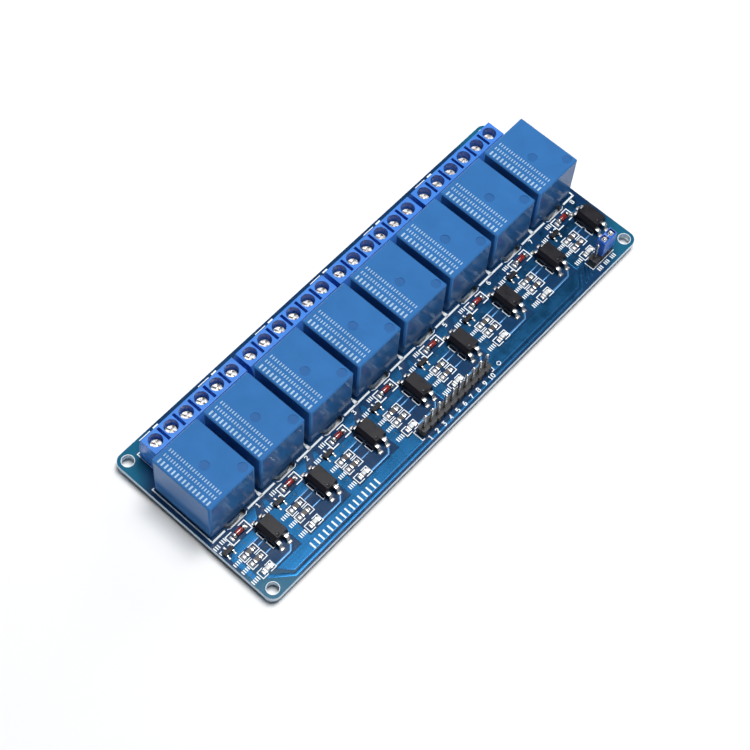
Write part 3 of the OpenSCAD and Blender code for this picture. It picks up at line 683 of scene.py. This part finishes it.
def surface_solder():
    """Solder on every surface-mount pad; the pads in the dull set get a darker copy of the solder, painted
    shade.
    """
    bright, dull = bmesh.new(), bmesh.new()
    for centre in map(middle, OPTOS):
        for row in SIDES:
            for side in SIDES:
                place = (centre.x + side * OPTO_LEAD_X, centre.y + row * 4.75)
                mound(dull, place, size=(1.45, 1.0), top=(0.75, 0.6), height=0.26)
    for centre in TRANSISTORS:
        for row, offset in TRANSISTOR_LEADS:
            place = (centre.x + offset, centre.y + row * 1.35)
            mound(bright, place, size=(0.62, 0.8), top=(0.6, 0.6), height=0.2)
    for x, y, _ in DIODES:
        mound(bright, (x - 2.25, y), size=(0.9, 1.7), top=(0.5, 0.7), height=0.45)
        mound(dull, (x + 2.2, y), size=(0.9, 1.7), top=(0.5, 0.7), height=0.4)
    for x, y, _ in CHIPS:
        mound(bright, (x - 1.72, y), size=(1.3, 1.35), top=(0.5, 0.6), height=0.34)
        mound(dull, (x + 1.5, y), size=(0.8, 1.25), top=(0.5, 0.7), height=0.2)
    for x, y, _ in LEDS:
        for side in SIDES:
            mound(bright, (x + side * 1.4, y), size=(0.8, 1.3), top=(0.6, 0.75), height=0.16)
    finished("bright_solder", bright, "solder")
    finished("solder_in_painted_shade", dull, "shaded_solder")


def joints_below():
    """Concave solder joints round the leads under the board, each on its ring of copper."""
    bm, rings = bmesh.new(), bmesh.new()
    lip, steps = 0.05, 6
    for low, high in solids("solder_joints"):
        centre = middle((low, high))
        outer = (high.x - low.x) / 2
        inner = outer * 0.42
        root = (centre.x, centre.y, UNDERSIDE)
        depth = UNDERSIDE - low.z
        profile = [(0, 0), (outer, 0), (outer, -lip)]
        for k in range(1, steps):
            down = k / steps
            profile.append((inner + (outer - inner) * (1 - down) ** 2.2, -lip - (depth - lip) * down))
        profile += [(inner, -depth), (0, -depth)]
        spun(bm, profile, root, 16)
        spun(rings, [(0, 0), (outer + 0.22, 0), (outer + 0.22, -0.03), (0, -0.03)], root, 20)
    finished("solder_joint_set", bm, "solder", replaces=["solder_joints"])
    finished("pad_rings", rings, "pad")


# ---- copper under the mask ---------------------------------------------------------------------

MIDS = DIODES[0].y - 1.7        # the pours' edge between the diodes and the optocouplers
POUR_TOP = LEDS[0].y - 1.45     # the front pours' edge below the LEDs
POUR_BOTTOM = FRONT + 2.0
SUPPLY_X = SUPPLY_PINS[0].x


def finger(i):
    """Outline, left to right, of the pour that comes up between two optocouplers."""
    before = middle(OPTOS[i - 1]).x + 2.75
    margin = LEDS[i].x - 3.0
    inner = OPTOS[i][0].x - 0.45
    above = DIODES[i].y + 1.7
    return [
        (before, MIDS - 1.0), (before - 0.2, MIDS - 0.1), (before + 1.7, above), (before + 2.6, above),
        (before + 2.6, MIDS + 1.2), (before + 1.4, MIDS), (inner, MIDS), (inner, MIDS - 2.1),
        (margin, MIDS - 2.1),
    ]


def fingers(channels, root):
    """The outlines of several fingers, each joined to a straight edge below them."""
    points = []
    for i in channels:
        outline = finger(i)
        points += [(outline[0][0], root), *outline, (outline[-1][0], root)]
    return points


def pour(bm, *points):
    """A wide area of copper under the mask."""
    plate(bm, points, DECK - FOOT, COPPER_H + FOOT, SHOULDER)


def track(bm, *points, width=0.3):
    """A track under the mask; a thin one has steeper edges."""
    line(bm, points, width, DECK - FOOT, COPPER_H + FOOT, shoulder=min(SHOULDER, width * 0.36))


def channel_tracks(bm, i):
    led, opto = LEDS[i], middle(OPTOS[i])
    for y in (led.y + 7.05, led.y + 5.7, led.y + 3.05):
        track(bm, (led.x + 2.45, y), (opto.x - 2.5, y))
    y = led.y - 0.75
    track(bm, (led.x + 1.9, y), (opto.x - 0.3, y), (opto.x + 1.6, led.y + 1.0), width=0.5)


def diode_pour(bm, i):
    """Copper beside a diode, cut by a bare diagonal."""
    x, y, _ = DIODES[i]
    pour(bm, (x + 3.4, y + 1.9), (x + 7.4, y + 1.9), (x + 5.4, y - 0.6), (x + 3.4, y - 0.6))


def margin_pour(bm):
    """The pour left of the first channel's parts."""
    left, led = BOARD[0].x + 0.9, LEDS[0]
    margin, inner = led.x - 3.0, OPTOS[0][0].x - 0.45
    low, high = led.y + 0.4, MIDS - 1.4
    pour(bm, (left, high), (left, low), (led.x - 3.6, low), (margin, low + 1.0), (margin, MIDS - 2.1),
         (inner, MIDS - 2.1), (inner, MIDS), (led.x - 1.8, MIDS), (led.x - 4.0, high))


def front_pours(bm):
    """The pours along the front, left and right of the signal header, with their fingers."""
    left, right = SIGNAL_PINS[0].x - 2.1, SIGNAL_PINS[-1].x + 2.1
    pour(bm, (LEDS[0].x + 4.1, POUR_BOTTOM), (LEDS[0].x + 1.2, POUR_TOP), *fingers((1, 2, 3), POUR_TOP),
         (left, POUR_TOP), (left, POUR_BOTTOM))
    pour(bm, (right, POUR_BOTTOM), (right, POUR_TOP), *fingers((5, 6), POUR_TOP),
         (SUPPLY_X - 4.81, POUR_TOP), (SUPPLY_X - 8.01, POUR_BOTTOM))
    for i in (4, 7):
        pour(bm, *fingers((i,), POUR_TOP + 0.35))


def long_tracks(bm):
    """The wide track along the front edge, and three that turn up to the supply header."""
    edge = FRONT + 1.1
    track(bm, (LEDS[0].x - 1.6, POUR_TOP + 0.25), (LEDS[0].x + 3.35, edge), (SUPPLY_X - 8.21, edge),
          (SUPPLY_X - 3.11, POUR_TOP + 0.3), width=0.85)
    for k in range(3):
        x = SUPPLY_X - 5.81 + 1.3 * k
        track(bm, (x, FRONT + 1.3 + 0.1 * k), (x + 4.0, POUR_TOP), width=0.4)


def copper():
    """Relief of the copper under the mask on the top face."""
    pours, tracks = bmesh.new(), bmesh.new()
    for i in CHANNELS:
        diode_pour(pours, i)
        channel_tracks(tracks, i)
    margin_pour(pours)
    front_pours(pours)
    long_tracks(pours)
    finished("copper_pours", pours, "copper_mask")
    finished("copper_tracks", tracks, "track_mask_painted_highlight")


def vias():
    """Plugged vias: a small one by each diode and by each LED."""
    bm = bmesh.new()
    height = COPPER_H + 0.012
    for diode, led in zip(DIODES, LEDS):
        for x, y, radius in ((diode.x - 1.1, diode.y - 2.7, 0.26), (led.x - 3.9, led.y + 1.65, 0.22)):
            drum(bm, Matrix.Translation((x, y, DECK + height / 2)), radius, height, 16)
    finished("vias", bm, "via")


# ---- legend ------------------------------------------------------------------------------------

def bracket(centre, length, width, arm, side):
    """A square C that closes one side of a part's outline."""
    x, y = centre
    edge = x + side * length / 2
    inner = edge - side * arm
    return [(inner, y + width / 2), (edge, y + width / 2), (edge, y - width / 2), (inner, y - width / 2)]


def channel_outlines(stroke, i):
    diode, transistor, led, opto = DIODES[i], TRANSISTORS[i], LEDS[i], middle(OPTOS[i])
    for side in SIDES:
        stroke(bracket((diode.x - 0.05, diode.y), 6.3, 2.8, 2.05, side), 0.28)
        x, top = transistor.x + side * 1.65, transistor.y + 1.2
        stroke([(x, top - 0.75), (x, top), (x - side * 0.65, top)])
        stroke(bracket((led.x - 0.4, led.y), 4.3, 2.1, 1.75, side))
        for chip in CHIPS[2 * i:2 * i + 2]:
            stroke(bracket((chip.x - 0.15, chip.y - 0.02), 4.8, 2.1, 1.75, side))
    left, right = opto.x - 2.6, opto.x + 2.62
    back, front = opto.y + 2.45, opto.y - 3.0
    notch = arc((left, opto.y - 0.25), 0.55, 90, -90)
    stroke([(left + 0.7, back), (left, back), *notch, (left, front), (left + 0.6, front)])
    stroke([(right - 0.5, back), (right, back), (right, front), (right - 0.5, front)])


def channel_labels(number, tag, i):
    """A channel's number, and plain ticks where its parts are named."""
    diode, led = DIODES[i], LEDS[i]
    number(f"{i + 1}", middle(RELAYS[i]).x + 6.1, RELAYS[i][0].y - 1.95)
    # the first channel has the board's edge on its left, so its ticks stand closer
    by_diode, by_transistor = (4.2, (6.35, -1.0)) if i == 0 else (4.45, (8.25, 0.9))
    tag(diode.x - by_diode, diode.y + 1.15)
    tag(diode.x - by_transistor[0], diode.y - by_transistor[1])
    for chip in CHIPS[2 * i:2 * i + 2]:
        tag(chip.x - 3.9, chip.y, 4, 1.0)
    tag(led.x - 4.1, led.y - 0.05, 4, 1.15)


def relay_outlines(bm, stroke):
    """The line in front of the relays, broken at the slots, with a tongue between each pair."""
    front = RELAYS[0][0].y - 0.85
    back = RELAYS[0][1].y
    left = RELAYS[0][0].x - 0.7
    right = RELAYS[-1][1].x + 0.55
    slot = 3.85                 # half the length of a slot
    centres = [middle(r).x for r in RELAYS]
    starts = [left] + [x + slot for x in centres]
    ends = [x - slot for x in centres] + [right]
    for start, end in zip(starts, ends):
        stroke([(start, front), (end, front)], 0.5)
    stroke([(left + 0.15, front), (left + 0.15, back + 0.2), (left + 0.7, back + 0.2)], 0.3)
    stroke([(right - 0.15, front), (right - 0.15, front + 1.5)], 0.35)
    for a, b in zip(RELAYS, RELAYS[1:]):
        x = (a[1].x + b[0].x) / 2
        tongue = [(x - 0.55, front), (x + 0.55, front), (x + 0.32, front + 1.4), (x - 0.32, front + 1.4)]
        plate(bm, tongue, DECK, INK_H)
        stroke([(x, front + 1.3), (x, back)], 0.4)
    for x in centres:
        y = front - 0.62
        stroke([(x - 3.3, y + 0.45), (x - 2.6, y), (x + 2.6, y), (x + 3.3, y + 0.45)], 0.15)


def header_legend(stroke, number, tag):
    """Outlines of the two headers, the signal pins' numbers, and an even row of bars on the pour."""
    back, front = PIN_ROW + 1.4, PIN_ROW - 1.6
    for end, arm in ((SIGNAL_PINS[0].x - 1.9, 0.8), (SIGNAL_PINS[-1].x + 1.9, -0.8)):
        stroke([(end + arm, back), (end, back), (end, front), (end + arm, front)], 0.2)
    for k, pin in enumerate(SIGNAL_PINS):
        number(f"{k + 1}", pin.x, PIN_ROW - 2.4, 0.24)
    left, right = SUPPLY_X - 1.6, SUPPLY_PINS[-1].x + 1.6
    stroke([(left, PIN_ROW + 1.5), (left, PIN_ROW - 1.3), (right, PIN_ROW - 1.3)], 0.2)
    for pin in SUPPLY_PINS:
        tag(pin.x, PIN_ROW - 2.35)
    tag(SIGNAL_PINS[0].x - 28.77, PIN_ROW - 0.8, count=16, height=1.9, pitch=1.5, width=0.45)
    stroke(ring((SIGNAL_PINS[-1].x + 4.07, PIN_ROW - 1.25), 0.5, 16), 0.2, closed=True)


def terminal_legend(stroke):
    """The left end of the terminals' outline, and pairs of dashes along the back edge."""
    x, front = box("terminal_block_1")[0].xy
    back = box("terminal_block_4")[1].y + 1.0
    stroke([(x + 0.3, front), (x + 0.05, front), (x + 0.05, back), (x + 0.9, back)], 0.25)
    edge = BOARD[1].y - 0.75
    for start in range(-60, 60, 20):
        stroke([(start, edge), (start + 3.6, edge)], 0.2)
        stroke([(start + 4.6, edge), (start + 6.2, edge)], 0.4)


def legend():
    """The white legend: outlines of the parts, plain ticks beside them, and plain numbers."""
    bm = bmesh.new()

    def stroke(points, width=0.22, closed=False):
        line(bm, points, width, DECK, INK_H, closed)

    def number(text, x, y, width=0.23):
        figures(bm, text, (x, y), 1.1, DECK, width, spacing=0.9)

    def tag(x, y, count=3, height=1.1, pitch=0.6, width=0.3):
        ticks(bm, (x, y), count, pitch, (width, height), DECK)

    relay_outlines(bm, stroke)
    for i in CHANNELS:
        channel_outlines(stroke, i)
        channel_labels(number, tag, i)
    header_legend(stroke, number, tag)
    terminal_legend(stroke)
    finished("legend", bm, "ink")


def hole_rims():
    """A thin pale ring of bare laminate round each mounting hole."""
    bm = bmesh.new()
    for side in SIDES:
        for end in SIDES:
            centre = (side * (BOARD[1].x - HOLE_INSET), end * (BOARD[1].y - HOLE_INSET))
            line(bm, ring(centre, 1.62, 40), 0.14, DECK, 0.012, closed=True)
    finished("hole_rims", bm, "ink")


# ---- studio ------------------------------------------------------------------------------------

def floor():
    bm = bmesh.new()
    bmesh.ops.create_grid(bm, x_segments=1, y_segments=1, size=3.0)
    mesh = bpy.data.meshes.new("floor")
    bm.to_mesh(mesh)
    bm.free()
    mesh.materials.append(base_finish("floor_paper", (0.92, 0.92, 0.92), 0.9))
    paper = bpy.data.objects.new("floor", mesh)
    bpy.context.scene.collection.objects.link(paper)
    paper.location.z = CAD_BOX[0].z


def lamp(name, size, place, power):
    """A square softbox that faces the board."""
    data = bpy.data.lights.new(name, "AREA")
    data.shape = "RECTANGLE"
    data.size = data.size_y = size
    data.energy = power
    light = bpy.data.objects.new(name, data)
    light.location = place
    light.rotation_mode = "QUATERNION"
    light.rotation_quaternion = (-Vector(place)).to_track_quat("-Z", "Y")
    bpy.context.scene.collection.objects.link(light)


def surround():
    """A world that is grey at the horizon and nearly dark overhead."""
    world = bpy.data.worlds.new("surround")
    world.use_nodes = True
    nodes, links = world.node_tree.nodes, world.node_tree.links
    coords = nodes.new("ShaderNodeTexCoord")
    split = nodes.new("ShaderNodeSeparateXYZ")
    ramp = nodes.new("ShaderNodeValToRGB")
    links.new(coords.outputs["Generated"], split.inputs[0])
    links.new(split.outputs["Z"], ramp.inputs["Fac"])
    links.new(ramp.outputs["Color"], nodes["Background"].inputs["Color"])
    stops = ((0.12, (0.32, 0.33, 0.34, 1)), (0.5, (0.05, 0.055, 0.065, 1)))
    for element, (height, colour) in zip(ramp.color_ramp.elements, stops):
        element.position = height
        element.color = colour
    bpy.context.scene.world = world
    bpy.context.scene.view_settings.view_transform = "Standard"


def camera():
    """A long lens above the board's front left corner, slightly rolled."""
    data = bpy.data.cameras.new("three_quarter")
    data.lens, data.sensor_width = 89.9, 36
    data.clip_start = 0.01
    eye, target = Vector((-0.18159, -0.13324, 0.40762)), Vector((-0.00796, -0.00359, 0.0032))
    roll = Quaternion((0, 0, 1), math.radians(5.881))
    view = bpy.data.objects.new("three_quarter", data)
    view.location = eye
    view.rotation_mode = "QUATERNION"
    view.rotation_quaternion = (target - eye).to_track_quat("-Z", "Y") @ roll
    bpy.context.scene.collection.objects.link(view)
    bpy.context.scene.camera = view


camera()
floor()
lamp("softbox_over", 0.45, (0.13, -0.02, 1.1), 12.0)    # the main light, above and a little to +X
lamp("softbox_key", 0.20, (0.43, -0.04, 1.05), 1.4)     # small, for the bright spots on solder
lamp("softbox_end", 0.6, (1.25, 0.20, 0.7), 1.5)        # lower, beyond the +X end
surround()

give("circuit_board", "board")
for build in (relays, relay_prints, terminals, optocouplers, transistors, diodes, resistors, leds, headers,
              jumper, surface_solder, copper, vias, legend, hole_rims, joints_below):
    build()
